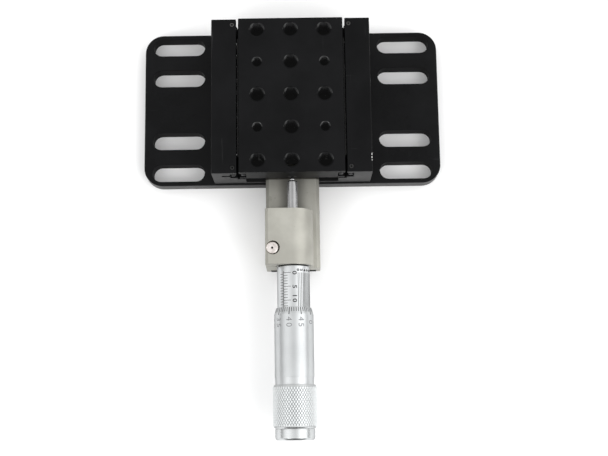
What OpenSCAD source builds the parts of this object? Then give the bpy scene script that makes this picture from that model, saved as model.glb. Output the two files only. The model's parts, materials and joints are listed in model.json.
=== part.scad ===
/* [Base plate] */
// Width of the base plate across the travel
plate_w = 113; // [110:1:130]
// Length of the base plate along the travel
plate_l = 60; // [58:1:80]
// Thickness of the base plate
plate_t = 6; // [5:0.5:10]
// Corner radius of the base plate
plate_corner_r = 7; // [3:0.5:9]
// Hole pitch of the table that the base slots fit
table_pitch = 25; // [23:0.1:26]
// Distance from the middle of the plate to the middle of each slot
slot_x = 43.4; // [41.5:0.1:45]
// End to end length of a base slot
slot_l = 20; // [12:0.5:22]
// Width of a base slot
slot_w = 6.6; // [4.5:0.1:7]

/* [Body] */
// Width of the body over its two rails
body_w = 59; // [57:0.5:62]
// Length of the body along the travel, which the carriage shares
body_l = 59; // [56:0.5:70]
// Height of the rails above the base plate
body_h = 18; // [17:0.5:24]
// Thickness of the body's floor
floor_t = 2.8; // [2.4:0.1:3.4]
// Width of each rail
rail_w = 9.25; // [8.5:0.25:10.5]
// Width of the ledge at the foot of each rail
ledge_w = 3.05; // [2:0.05:4]
// Chamfer along the top edges of body and carriage
edge_chamfer = 0.4; // [0.2:0.1:0.8]
// Height of the relief slit in the left rail
slit_h = 0.6; // [0.4:0.1:1]
// Depth of the relief slit beyond the way groove
slit_d = 2.6; // [2.4:0.1:3.2]
// Thickness of the wall that closes the channel at the back
rear_wall_t = 1.5; // [1:0.1:2.5]

/* [Ball ways] */
// Gap between each rail and the carriage
way_gap = 0.75; // [0.65:0.05:1.2]
// Depth of the way's middle below the carriage top
way_drop = 5.6; // [5.2:0.1:6]
// Diameter of the balls
ball_d = 3.175; // [2.8:0.025:3.4]
// Diameter of the way rods
rod_d = 2; // [1.6:0.1:2.2]
// Distance of a rod's end from the end of its groove
rod_inset = 0.5; // [0.3:0.1:1.5]
// Balls in each cage
ball_count = 10; // [6:1:11]
// Distance between balls in a cage
ball_pitch = 4.5; // [4:0.1:4.8]
// Length of a cage past its last ball
cage_end = 2.4; // [2:0.1:4]
// Thickness of a cage
cage_t = 0.45; // [0.3:0.05:0.5]
// Height of a cage
cage_h = 4.6; // [4:0.1:5]

/* [Carriage] */
// Distance of the carriage's ends from the body's ends at mid travel
carriage_inset = 0; // [0:0.1:2]
// Thickness of the carriage
carriage_t = 10.2; // [9.6:0.1:11]
// Height of the carriage top above the rails
carriage_rise = 0.5; // [0.2:0.1:1.5]
// Gap between the carriage and the ledges
ledge_gap = 0.4; // [0.3:0.05:0.8]
// Pitch of the tapped hole grid
grid_pitch = 12.5; // [11.5:0.1:12.7]
// Core diameter of the large tapped holes
big_tap_d = 5; // [4:0.1:5.5]
// Rim diameter of the large countersinks
big_sink_d = 6.4; // [6:0.1:7]
// Core diameter of the small tapped holes
small_tap_d = 3.3; // [2.5:0.1:4]
// Rim diameter of the small countersinks
small_sink_d = 4.4; // [4.1:0.1:5]
// Diameter of the contact pad
pad_d = 3.4; // [2.4:0.1:3.8]
// Thickness of the contact pad
pad_t = 1.4; // [1:0.1:1.5]

/* [Bracket] */
// Width of the bracket
bracket_w = 20; // [18:0.5:21]
// Thickness of the tongue under the carriage
tongue_t = 3.5; // [3:0.1:4]
// Reach of the tongue into the body
tongue_in = 6; // [5.5:0.1:9]
// Chamfer along the tongue's upper edges
tongue_chamfer = 1.2; // [0.6:0.1:1.4]
// Width of the legs along the bracket's sides
leg_w = 1.5; // [1:0.1:2.5]
// Drop of the legs below the tongue
leg_drop = 5.6; // [3:0.1:7]
// Thickness of the web between the legs, below the tongue
web_t = 2.8; // [1:0.1:4]
// Gap between the legs and the base plate's front
leg_gap = 0.6; // [0.3:0.1:2]
// Length of the clamp block
block_l = 20.5; // [18:0.5:26]
// Gap between the clamp block and the carriage at full retraction
block_gap = 0.5; // [0.4:0.1:2]
// Wall of the clamp block over its bore
clamp_wall = 1.45; // [1:0.05:2.5]
// Chamfer along the clamp block's upper left edge
block_chamfer = 1.1; // [0.5:0.1:1.4]
// Width of the clamp slit
clamp_slit = 0.8; // [0.5:0.1:1.2]
// Diameter of the clamp screw
clamp_d = 2; // [1.6:0.1:2]
// Head diameter of the clamp screw
clamp_head_d = 3.8; // [3.4:0.1:4]
// Counterbore diameter over the clamp screw
clamp_bore_d = 5; // [4.4:0.1:5]
// Distance of the clamp screw from the block's front
clamp_inset = 6; // [4:0.1:10]

/* [Micrometer] */
// Full travel of the stage
travel = 25; // [16:0.5:26]
// Reading at which the stage stands
reading = 12.37; // [0:0.01:16]
// Height of the spindle axis above the carriage's underside
axis_rise = 2.1; // [2:0.1:3]
// Diameter of the spindle
spindle_d = 4; // [3:0.1:4]
// Diameter of the spindle's thread
thread_d = 6.5; // [5.5:0.1:7]
// Length of the nut thread in the barrel
nut_thread_l = 11; // [8:0.5:14]
// Diameter of the ball tip
tip_d = 2; // [1.6:0.1:2.2]
// Diameter of the sleeve and of the clamped stem
sleeve_d = 11.9; // [11.5:0.1:12.4]
// Wall of the graduated sleeve
sleeve_wall = 1.4; // [0.8:0.1:1.6]
// Distance of the zero mark from the clamp block
zero_inset = 2.95; // [2:0.05:5]
// Length of sleeve past its last mark
sleeve_over = 1.85; // [1:0.05:4]
// Length of the adjusting nut
nut_l = 3.2; // [2:0.1:5]
// Diameter of the thimble
thimble_d = 14.25; // [13.8:0.05:15]
// Length of the thimble before its knurl
thimble_l = 27.6; // [25:0.1:32]
// Length of the thimble's graduated bevel
bevel_l = 2.5; // [1.5:0.1:3.5]
// Thickness of the thimble's front edge
bevel_edge = 0.3; // [0.2:0.05:0.6]
// Diameter over the knurl
knurl_d = 15.6; // [15:0.1:16.4]
// Length of the knurl
knurl_l = 15.3; // [12:0.1:20]
// Diameter of the end cap
cap_d = 14.3; // [13:0.1:14.8]
// Length of the end cap
cap_l = 4.1; // [3:0.1:8]
// Chamfer of the end cap and the knurl
cap_chamfer = 0.6; // [0.3:0.1:1]

/* [Springs] */
// Outer diameter of the return springs
spring_d = 4; // [3:0.1:4.2]
// Wire diameter of the return springs
spring_wire = 0.44; // [0.3:0.02:0.5]
// Diameter of the spring posts
post_d = 2; // [1.6:0.1:2.4]
// Distance of the body's posts from its front
body_post_inset = 11; // [9:0.5:13]
// Gap between the carriage's posts and the rear wall at full travel
post_rear_gap = 0.5; // [0.3:0.1:2]

/* [Fasteners] */
// Diameter of the base plate and bracket screws
screw_d = 3; // [2.5:0.1:3]
// Head diameter of the base plate and bracket screws
screw_head_d = 5.6; // [5:0.1:6]
// Thread depth of the base plate screws in the body
screw_depth = 8; // [5:0.5:9]
// Distance of the base plate screws from the middle, along the travel
screw_y = 24; // [22:0.5:25]
// Diameter of the preload screws
preload_d = 2; // [1.6:0.1:2]
// Distance between the preload screws
preload_pitch = 16; // [12:0.5:17]
// Diameter of the rod set screws
set_screw_d = 1.6; // [1.2:0.1:1.8]
// Distance of the rod set screws from the body's ends
set_screw_inset = 2.1; // [1.5:0.1:5]

/* [Hidden] */

$fn = 64;
black_anodised = [0.13, 0.13, 0.14];
nickel = [0.68, 0.67, 0.62];
satin_chrome = [0.82, 0.83, 0.84];
bright_steel = [0.75, 0.76, 0.78];
dark_steel = [0.25, 0.25, 0.27];

// Clearances: fixed fit, running fit, ball to rod, tip to pad, and past the end of a screw
fit_gap = 0.02;
run_gap = 0.05;
ball_gap = 0.06;
tip_gap = 0.02;
free_gap = 0.3;
// Extra length of a cut past the face that it opens
past = 1;

// Heights
rail_top = plate_t + body_h;
carriage_top = rail_top + carriage_rise;
carriage_bottom = carriage_top - carriage_t;
floor_top = plate_t + floor_t;
ledge_top = carriage_bottom - ledge_gap;
tongue_top = floor_top + tongue_t;
axis_z = carriage_bottom + axis_rise;
way_z = carriage_top - way_drop;

// Positions across the travel
rail_in = body_w / 2 - rail_w;
channel_half = rail_in - ledge_w;
carriage_half = rail_in - way_gap;
way_x = rail_in - way_gap / 2;
rod_off = (ball_d + rod_d) / 2 / sqrt(2) + ball_gap;
groove_half_h = rod_off + rod_d / 2 + fit_gap;
groove_out = way_x + groove_half_h;
groove_in = way_x - groove_half_h;
rail_mid = body_w / 2 - rail_w / 2;
preload_x = groove_out + slit_d / 2;
spring_x = grid_pitch / 2;
bracket_screw_x = 0.28 * bracket_w;

// Screws: depth of a head below its face, and proportions of heads and hex sockets
head_recess = 0.2;
head_share = 1.9;
socket_share = 0.7;
socket_depth_share = 0.5;
flat_sink = (screw_head_d - screw_d) / 2;
preload_head_d = head_share * preload_d;
preload_head_h = preload_d;
preload_l = way_z + groove_half_h - plate_t - head_recess;

// Spring posts
post_clear = 1;
post_l = carriage_bottom - floor_top - post_clear;
post_head_d = post_d + 1;
post_head_h = 0.5;
post_seat = floor_t - 2 * free_gap;
post_depth = 3;
spring_neck = 1;

// Positions along the travel
carriage_l = body_l - 2 * carriage_inset;
carriage_y = travel / 2 - reading;
carriage_front = carriage_y - carriage_l / 2;
cage_y = carriage_y / 2;
cage_l = (ball_count - 1) * ball_pitch + 2 * cage_end;
block_back = -travel / 2 - carriage_l / 2 - block_gap;
block_front = block_back - block_l;
leg_start = -max(plate_l, body_l) / 2 - leg_gap;
tongue_end = tongue_in - body_l / 2;
bracket_screw_share = 0.45;
bracket_screw_y = tongue_end - tongue_in * bracket_screw_share;
body_post_y = body_post_inset - body_l / 2;
rear_wall_y = body_l / 2 - rear_wall_t;
carriage_post_y = rear_wall_y - travel / 2 - post_head_d / 2 - post_rear_gap;

// Radii of the micrometer
sleeve_r = sleeve_d / 2;
barrel_r = sleeve_r - sleeve_wall;
nut_r = sleeve_r - 0.4;
thimble_bore_r = sleeve_r + 2 * run_gap;
spindle_r = spindle_d / 2;
thread_r = thread_d / 2;
thread_cone = thread_r - spindle_r;
tip_r = tip_d / 2;
nose_chamfer = 0.3;
stub_r = thread_r - 0.75;
stud_r = 1.25;

// Stations of the micrometer
stem_inset = 1;
stem_front = block_back - stem_inset;
zero_y = block_front - zero_inset;
sleeve_end = zero_y - travel - sleeve_over;
barrel_end = sleeve_end - nut_l;
nut_front = barrel_end + nut_thread_l;
relief_front = nut_front + travel + thread_cone + free_gap;
tip_y = carriage_front - tip_gap - tip_r;
nose_y = tip_y - 0.3 * tip_r;
thimble_edge = zero_y - reading;
cavity_gap = 1;
cavity_end = thimble_edge - (zero_y - barrel_end) - cavity_gap;
knurl_front = thimble_edge - thimble_l;
knurl_back = knurl_front - knurl_l;
thread_front = nut_front + travel - reading;
stud_l = 5;

// Clamp screw
clamp_hole_d = clamp_d + 0.2;
clamp_land = 0.15;
clamp_x = -(sleeve_r + clamp_hole_d / 2 + clamp_land);
clamp_y = block_front + clamp_inset;
clamp_seat_share = 0.72;
clamp_tip_share = 0.85;
clamp_seat = axis_z + clamp_seat_share * sleeve_r;
clamp_tip = axis_z - clamp_tip_share * sleeve_r;
clamp_head_h = clamp_d;

// Clamp block
block_r = sleeve_r + clamp_wall;
block_top = axis_z + block_r;
mouth_chamfer = 0.5;

// Shapes that repeat

// A box between two corners
module span(low, high) {
    translate(low)
        cube(high - low);
}

// A square prism along the travel that takes a chamfer off an edge
module bevel_y(x, z, size, from, to) {
    translate([x, (from + to) / 2, z])
        rotate([0, 45, 0])
            cube([size * sqrt(2), to - from, size * sqrt(2)], center = true);
}

// A square prism across the travel that takes a chamfer off an edge
module bevel_x(y, z, size, half) {
    translate([0, y, z])
        rotate([45, 0, 0])
            cube([2 * half, size * sqrt(2), size * sqrt(2)], center = true);
}

// A cylinder along the travel, at a height
module along(from, to, r, x = 0, z = axis_z) {
    translate([x, from, z])
        rotate([-90, 0, 0])
            cylinder(h = to - from, r = r);
}

// A turned piece on the micrometer axis; its outline gives radius and distance back from y
module turned(y, outline) {
    translate([0, y, axis_z])
        rotate([90, 0, 0])
            rotate_extrude()
                polygon(outline);
}

// A flat-head screw that points up, its head sunk into the face below
module flat_screw(length) {
    translate([0, 0, head_recess])
        difference() {
            union() {
                cylinder(h = flat_sink, d1 = screw_head_d, d2 = screw_d);
                cylinder(h = length - head_recess, d = screw_d);
            }
            translate([0, 0, -past])
                cylinder(h = past + flat_sink, d = socket_share * screw_d, $fn = 6);
        }
}

// The hole that a flat-head screw passes
module flat_hole(length) {
    translate([0, 0, -past])
        cylinder(h = past + head_recess, d = screw_head_d + 2 * fit_gap);
    translate([0, 0, head_recess])
        cylinder(h = flat_sink, d1 = screw_head_d + 2 * fit_gap, d2 = screw_d + 2 * fit_gap);
    cylinder(h = length, d = screw_d + 2 * fit_gap);
}

// A tapped hole with its countersink, down through the carriage
module tapped_hole(x, y, tap_d, sink_d) {
    sink = (sink_d - tap_d) / 2;
    translate([x, y, carriage_bottom - past])
        cylinder(h = carriage_t + 2 * past, d = tap_d);
    translate([x, y, carriage_top - sink])
        cylinder(h = sink, d1 = tap_d, d2 = sink_d);
    translate([x, y, carriage_top])
        cylinder(h = past, d = sink_d);
}

// Two rods, one above the other
module rod_pair(x, y, length) {
    for (side = [-1, 1])
        along(y - length / 2, y + length / 2, rod_d / 2, x, way_z + side * rod_off);
}

// A strip with a round hole for each ball
module ball_cage(x) {
    difference() {
        translate([x - cage_t / 2, cage_y - cage_l / 2, way_z - cage_h / 2])
            cube([cage_t, cage_l, cage_h]);
        for (i = [0 : ball_count - 1])
            translate([x - past, ball_y(i), way_z])
                rotate([0, 90, 0])
                    cylinder(h = 2 * past, d = ball_d + 2 * run_gap);
    }
}

function ball_y(i) = cage_y + (i - (ball_count - 1) / 2) * ball_pitch;

module ball_row(x) {
    for (i = [0 : ball_count - 1])
        translate([x, ball_y(i), way_z])
            sphere(d = ball_d);
}

// A headed pin that a spring's loop hangs on; it points along +Z from its seat
module spring_post(seat) {
    translate([0, 0, -seat])
        cylinder(h = seat + post_l, d = post_d);
    translate([0, 0, post_l - post_head_h])
        cylinder(h = post_head_h, d = post_head_d);
}

// A close-wound return spring with a loop at each end
module return_spring(x) {
    loop_r = post_d / 2 + run_gap + spring_wire / 2;
    neck = loop_r + spring_neck;
    z = (floor_top + carriage_bottom) / 2;
    far_y = carriage_y + carriage_post_y;
    along(body_post_y + neck, far_y - neck, spring_d / 2, x, z);
    along(body_post_y + loop_r, body_post_y + neck, spring_wire / 2 - fit_gap, x, z);
    along(far_y - neck, far_y - loop_r, spring_wire / 2 - fit_gap, x, z);
    for (y = [body_post_y, far_y])
        translate([x, y, z])
            rotate_extrude()
                translate([loop_r, 0])
                    circle(d = spring_wire);
}

// Sub-parts

module base_plate() {
    color(black_anodised)
        difference() {
            plate_blank();
            for (side = [-1, 1], row = [-1, -0.5, 0.5, 1])
                translate([side * slot_x, row * table_pitch, -past])
                    slot(plate_t + 2 * past);
            for (x = [-rail_mid, rail_mid], y = [-screw_y, screw_y])
                translate([x, y, 0])
                    flat_hole(plate_t + past);
        }
}

module plate_blank() {
    inner_w = plate_w - 2 * plate_corner_r;
    inner_l = plate_l - 2 * plate_corner_r;
    translate([-plate_w / 2, -inner_l / 2, 0])
        cube([plate_w, inner_l, plate_t]);
    translate([-inner_w / 2, -plate_l / 2, 0])
        cube([inner_w, plate_l, plate_t]);
    for (x = [-1, 1], y = [-1, 1])
        translate([x * inner_w / 2, y * inner_l / 2, 0])
            cylinder(h = plate_t, r = plate_corner_r);
}

module slot(h) {
    run = slot_l - slot_w;
    translate([-run / 2, -slot_w / 2, 0])
        cube([run, slot_w, h]);
    for (side = [-1, 1])
        translate([side * run / 2, 0, 0])
            cylinder(h = h, d = slot_w);
}

module base_plate_screws() {
    color(dark_steel)
        for (x = [-rail_mid, rail_mid], y = [-screw_y, screw_y])
            translate([x, y, 0])
                flat_screw(plate_t + screw_depth);
}

module stage_body() {
    half_l = body_l / 2;
    color(black_anodised)
        difference() {
            span([-body_w / 2, -half_l, plate_t], [body_w / 2, half_l, rail_top]);
            span(
                [-channel_half, -half_l - past, floor_top],
                [channel_half, rear_wall_y, rail_top + past]
            );
            span([-rail_in, -half_l - past, ledge_top], [rail_in, half_l + past, rail_top + past]);
            span(
                [-groove_out, -half_l - past, way_z - groove_half_h],
                [groove_out, half_l + past, way_z + groove_half_h]
            );
            span(
                [-groove_out - slit_d, -half_l - past, way_z - slit_h / 2],
                [-rail_in, half_l + past, way_z + slit_h / 2]
            );
            for (side = [-1, 1]) {
                bevel_y(side * body_w / 2, rail_top, edge_chamfer, -half_l - past, half_l + past);
                bevel_x(side * half_l, rail_top, edge_chamfer, body_w / 2 + past);
            }
            for (x = [-rail_mid, rail_mid], y = [-screw_y, screw_y])
                translate([x, y, plate_t - past])
                    cylinder(h = past + screw_depth + free_gap, d = screw_d + 2 * fit_gap);
            for (x = [-bracket_screw_x, bracket_screw_x])
                translate([x, bracket_screw_y, plate_t])
                    flat_hole(floor_t + past);
            for (i = [-1, 0, 1])
                translate([-preload_x, i * preload_pitch, plate_t])
                    preload_hole();
            for (x = [-1, 1], y = [-1, 1])
                translate([x * (way_x + rod_off), y * (half_l - set_screw_inset), way_z + rod_off])
                    cylinder(h = body_h, d = set_screw_d + 2 * fit_gap);
            for (x = [-spring_x, spring_x])
                translate([x, body_post_y, floor_top - post_seat])
                    cylinder(h = post_seat + past, d = post_d + 2 * fit_gap);
        }
}

module preload_hole() {
    translate([0, 0, -past])
        cylinder(h = past + head_recess + preload_head_h, d = preload_head_d + 2 * run_gap);
    cylinder(h = head_recess + preload_l + free_gap, d = preload_d + 2 * fit_gap);
}

module preload_screws() {
    color(dark_steel)
        for (i = [-1, 0, 1])
            translate([-preload_x, i * preload_pitch, plate_t + head_recess])
                difference() {
                    union() {
                        cylinder(h = preload_head_h, d = preload_head_d);
                        cylinder(h = preload_l, d = preload_d);
                    }
                    translate([0, 0, -past])
                        cylinder(
                            h = past + socket_depth_share * preload_head_h,
                            d = socket_share * preload_d, $fn = 6
                        );
                }
}

module left_rail_rods() {
    color(bright_steel)
        rod_pair(-way_x - rod_off, 0, body_l - 2 * rod_inset);
}

module right_rail_rods() {
    color(bright_steel)
        rod_pair(way_x + rod_off, 0, body_l - 2 * rod_inset);
}

module rod_set_screws() {
    foot = way_z + rod_off + rod_d / 2 + fit_gap;
    head = rail_top - head_recess;
    color(bright_steel)
        for (x = [-1, 1], y = [-1, 1])
            translate([x * (way_x + rod_off), y * (body_l / 2 - set_screw_inset), foot])
                difference() {
                    cylinder(h = head - foot, d = set_screw_d);
                    translate([0, 0, socket_depth_share * (head - foot)])
                        cylinder(h = head, d = socket_share * set_screw_d, $fn = 6);
                }
}

module micrometer_bracket() {
    half_w = bracket_w / 2;
    color(nickel)
        difference() {
            union() {
                bracket_tongue();
                span([-half_w, block_front, floor_top], [0, block_back, block_top]);
                span([0, block_front, floor_top], [block_r, block_back, axis_z]);
                along(block_front, block_back, block_r);
            }
            bevel_y(-half_w, block_top, block_chamfer, block_front - past, block_back + past);
            along(block_front - past, block_back + past, sleeve_r + fit_gap);
            turned(block_front + mouth_chamfer, [[0, 0], [sleeve_r, 0], [sleeve_r + past, past], [0, past]]);
            span(
                [-half_w - past, block_front - past, axis_z - clamp_slit / 2],
                [0, block_back + past, axis_z + clamp_slit / 2]
            );
            translate([clamp_x, clamp_y, 0]) {
                translate([0, 0, clamp_seat])
                    cylinder(h = block_top, d = clamp_bore_d);
                translate([0, 0, axis_z])
                    cylinder(h = block_top, d = clamp_hole_d);
                translate([0, 0, clamp_tip - free_gap])
                    cylinder(h = sleeve_r, d = clamp_d + 2 * fit_gap);
            }
            for (x = [-bracket_screw_x, bracket_screw_x])
                translate([x, bracket_screw_y, floor_top - past])
                    cylinder(h = past + tongue_t - free_gap, d = screw_d + 2 * fit_gap);
        }
}

module bracket_tongue() {
    half_w = bracket_w / 2;
    difference() {
        span([-half_w, block_front, floor_top], [half_w, tongue_end, tongue_top]);
        for (side = [-1, 1])
            bevel_y(side * half_w, tongue_top, tongue_chamfer, block_front - past, tongue_end + past);
    }
    span([-half_w, block_front, floor_top - web_t], [half_w, leg_start, floor_top]);
    for (side = [-1, 1])
        translate([side * (half_w - leg_w / 2) - leg_w / 2, block_front, floor_top - leg_drop])
            cube([leg_w, leg_start - block_front, leg_drop]);
}

module bracket_screws() {
    color(dark_steel)
        for (x = [-bracket_screw_x, bracket_screw_x])
            translate([x, bracket_screw_y, plate_t])
                flat_screw(floor_t + tongue_t - 2 * free_gap);
}

module clamp_screw() {
    color(bright_steel)
        translate([clamp_x, clamp_y, 0])
            difference() {
                union() {
                    translate([0, 0, clamp_tip])
                        cylinder(h = clamp_seat - clamp_tip, d = clamp_d);
                    translate([0, 0, clamp_seat])
                        cylinder(h = clamp_head_h, d = clamp_head_d);
                }
                translate([0, 0, clamp_seat + socket_depth_share * clamp_head_h])
                    cylinder(h = clamp_head_h, d = socket_share * clamp_d, $fn = 6);
            }
}

module micrometer_barrel() {
    color(bright_steel)
        difference() {
            union() {
                along(block_front, stem_front, sleeve_r);
                along(barrel_end, block_front, barrel_r - fit_gap);
            }
            along(barrel_end - past, stem_front + past, spindle_r + run_gap);
            along(barrel_end - past, relief_front, thread_r + run_gap);
        }
}

module graduated_sleeve() {
    color(satin_chrome)
        difference() {
            along(sleeve_end, block_front, sleeve_r);
            along(sleeve_end - past, block_front + past, barrel_r);
        }
}

module adjusting_nut() {
    color(dark_steel)
        difference() {
            along(barrel_end, sleeve_end, nut_r);
            along(barrel_end - past, sleeve_end + past, barrel_r);
        }
}

module body_spring_posts() {
    color(bright_steel)
        for (x = [-spring_x, spring_x])
            translate([x, body_post_y, floor_top])
                spring_post(post_seat);
}

module left_return_spring() {
    color(bright_steel)
        return_spring(-spring_x);
}

module right_return_spring() {
    color(bright_steel)
        return_spring(spring_x);
}

module carriage() {
    half_l = carriage_l / 2;
    color(black_anodised)
        translate([0, carriage_y, 0])
            difference() {
                span([-carriage_half, -half_l, carriage_bottom], [carriage_half, half_l, carriage_top]);
                for (side = [-1, 1]) {
                    span(
                        [side < 0 ? -carriage_half - past : groove_in, -half_l - past, way_z - groove_half_h],
                        [side < 0 ? -groove_in : carriage_half + past, half_l + past, way_z + groove_half_h]
                    );
                    bevel_y(side * carriage_half, carriage_top, edge_chamfer, -half_l - past, half_l + past);
                    bevel_x(side * half_l, carriage_top, edge_chamfer, carriage_half + past);
                    translate([side * spring_x, carriage_post_y, carriage_bottom - past])
                        cylinder(h = past + post_depth, d = post_d + 2 * fit_gap);
                }
                for (row = [-2, 0, 2], column = [-1, 0, 1])
                    tapped_hole(column * grid_pitch, row * grid_pitch, big_tap_d, big_sink_d);
                for (row = [-1, 1]) {
                    tapped_hole(0, row * grid_pitch, big_tap_d, big_sink_d);
                    for (column = [-1, 1])
                        tapped_hole(column * grid_pitch, row * grid_pitch, small_tap_d, small_sink_d);
                }
                along(-half_l - past, pad_t - half_l, pad_d / 2 + fit_gap);
            }
}

module left_carriage_rods() {
    color(bright_steel)
        rod_pair(-way_x + rod_off, carriage_y, carriage_l - 2 * rod_inset);
}

module right_carriage_rods() {
    color(bright_steel)
        rod_pair(way_x - rod_off, carriage_y, carriage_l - 2 * rod_inset);
}

module contact_pad() {
    color(dark_steel)
        along(carriage_front, carriage_front + pad_t - fit_gap, pad_d / 2);
}

module carriage_spring_posts() {
    color(bright_steel)
        for (x = [-spring_x, spring_x])
            translate([x, carriage_y + carriage_post_y, carriage_bottom])
                rotate([180, 0, 0])
                    spring_post(post_depth - fit_gap);
}

module left_ball_cage() {
    color(dark_steel)
        ball_cage(-way_x);
}

module left_balls() {
    color(bright_steel)
        ball_row(-way_x);
}

module right_ball_cage() {
    color(dark_steel)
        ball_cage(way_x);
}

module right_balls() {
    color(bright_steel)
        ball_row(way_x);
}

module ball_tip() {
    color(bright_steel)
        translate([0, tip_y, axis_z])
            sphere(d = tip_d);
}

module spindle() {
    thread_s = nose_y - thread_front;
    web_s = nose_y - cavity_end;
    rear_s = nose_y - knurl_back;
    color(bright_steel)
        difference() {
            turned(nose_y, [
                [0, 0], [spindle_r - nose_chamfer, 0], [spindle_r, nose_chamfer],
                [spindle_r, thread_s - thread_cone], [thread_r, thread_s], [thread_r, web_s],
                [stub_r, web_s], [stub_r, rear_s], [0, rear_s]
            ]);
            translate([0, tip_y, axis_z])
                sphere(r = tip_r + run_gap);
            along(knurl_back - past, knurl_back + stud_l + free_gap, stud_r + fit_gap);
        }
}

module thimble() {
    r = thimble_d / 2;
    edge_r = thimble_bore_r + bevel_edge;
    knurl_r = knurl_d / 2;
    knurl_s = thimble_edge - knurl_front;
    back_s = thimble_edge - knurl_back;
    cavity_s = thimble_edge - cavity_end;
    color(satin_chrome)
        difference() {
            turned(thimble_edge, [
                [0, 0], [edge_r, 0], [r, bevel_l], [r, knurl_s], [knurl_r - cap_chamfer, knurl_s],
                [knurl_r, knurl_s + cap_chamfer], [knurl_r, back_s - cap_chamfer],
                [knurl_r - cap_chamfer, back_s], [0, back_s]
            ]);
            along(cavity_end, thimble_edge + past, thimble_bore_r);
            along(knurl_back - past, cavity_end + past, stub_r + fit_gap);
        }
}

module end_cap() {
    r = cap_d / 2;
    color(satin_chrome)
        turned(knurl_back, [
            [0, -stud_l], [stud_r, -stud_l], [stud_r, 0], [r, 0], [r, cap_l - cap_chamfer],
            [r - cap_chamfer, cap_l], [0, cap_l]
        ]);
}

base_plate();
base_plate_screws();
stage_body();
left_rail_rods();
right_rail_rods();
rod_set_screws();
preload_screws();
micrometer_bracket();
bracket_screws();
clamp_screw();
micrometer_barrel();
graduated_sleeve();
adjusting_nut();
body_spring_posts();
left_return_spring();
right_return_spring();
carriage();
left_carriage_rods();
right_carriage_rods();
contact_pad();
carriage_spring_posts();
left_ball_cage();
left_balls();
right_ball_cage();
right_balls();
ball_tip();
spindle();
thimble();
end_cap();
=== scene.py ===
import json
import math

import bmesh
import bpy
from mathutils import Matrix, Vector
from mathutils.geometry import delaunay_2d_cdt


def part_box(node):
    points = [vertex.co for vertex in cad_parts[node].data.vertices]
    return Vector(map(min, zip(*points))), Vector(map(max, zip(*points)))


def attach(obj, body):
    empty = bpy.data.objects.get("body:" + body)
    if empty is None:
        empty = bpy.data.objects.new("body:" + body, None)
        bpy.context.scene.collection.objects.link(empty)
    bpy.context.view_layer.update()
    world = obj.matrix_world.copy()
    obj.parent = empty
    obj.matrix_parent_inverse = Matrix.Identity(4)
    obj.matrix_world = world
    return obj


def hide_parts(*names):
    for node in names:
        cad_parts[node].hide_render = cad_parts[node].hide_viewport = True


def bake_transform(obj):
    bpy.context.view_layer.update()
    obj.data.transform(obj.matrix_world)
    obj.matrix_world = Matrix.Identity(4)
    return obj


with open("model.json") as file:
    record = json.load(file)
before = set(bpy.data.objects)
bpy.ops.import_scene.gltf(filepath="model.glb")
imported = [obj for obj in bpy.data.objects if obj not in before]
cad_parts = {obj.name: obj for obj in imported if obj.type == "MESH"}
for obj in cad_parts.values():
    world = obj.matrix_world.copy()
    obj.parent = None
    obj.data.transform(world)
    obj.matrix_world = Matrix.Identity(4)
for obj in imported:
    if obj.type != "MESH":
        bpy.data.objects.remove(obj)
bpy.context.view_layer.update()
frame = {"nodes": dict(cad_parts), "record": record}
mm = 0.001  # shapes are drawn in millimetres and scaled once, in makePiece
fullTurn = 2 * math.pi
mounts = {mount["name"]: mount for mount in frame["record"]["mounts"]}
print("frame loaded,", len(frame["nodes"]), "nodes")


def spanOf(node):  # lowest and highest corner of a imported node, in millimetres
    low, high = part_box(node)
    return low / mm, high / mm


def middleOf(node):
    return [(a + b) / 2 for a, b in zip(*spanOf(node))]


def patternOf(name):  # hole centres of one of the record's mounts, in millimetres
    mount = mounts[name]
    middle, dims = Vector(mount["pos_m"]) / mm, mount["dims"]
    halfX, halfY = dims.get("spacing_x_mm", 0) / 2, dims.get("spacing_y_mm", 0) / 2
    return sorted({(middle.x + sx * halfX, middle.y + sy * halfY) for sx in (-1, 1) for sy in (-1, 1)})


def addObject(name, data):
    item = bpy.data.objects.new(name, data)
    bpy.context.scene.collection.objects.link(item)
    return item


def pick(look, names):  # several of a look's values
    return [look[name] for name in names.split()]


wayHeight = middleOf("left_ball_cage")[2]  # middle of the ball ways
axisHeight = middleOf("thimble")[2]  # the micrometer's axis

# camera at the photograph's place
cameraLook = dict(
    frameWidth=608,  # pixels
    focal=1077.122,  # pixels
    sensor=36,  # mm
    clip=(0.01, 20),  # m
    place=(4.3607, -118.6359, 406.4155),  # mm
    turn=(-10.1544, 0.0360, -0.8083),  # degrees about x, y, z, from looking straight down
)


def setCamera(look):
    data = bpy.data.cameras.new("photoCamera")
    data.sensor_width = look["sensor"]
    data.lens = look["focal"] / look["frameWidth"] * look["sensor"]
    data.clip_start, data.clip_end = look["clip"]
    camera = addObject("photoCamera", data)
    rx, ry, rz = (math.radians(a) for a in look["turn"])
    turn = Matrix.Rotation(rz, 3, "Z") @ Matrix.Rotation(ry, 3, "Y") @ Matrix.Rotation(rx, 3, "X")
    flip = Matrix.Diagonal((1, -1, -1))  # the fitted camera has y down and looks along +z
    axes = (flip @ turn @ flip).transposed().to_4x4()
    camera.matrix_world = Matrix.Translation(Vector(look["place"]) * mm) @ axes
    bpy.context.scene.camera = camera
    print("camera placed, lens", round(data.lens, 2), "mm")


setCamera(cameraLook)


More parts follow.
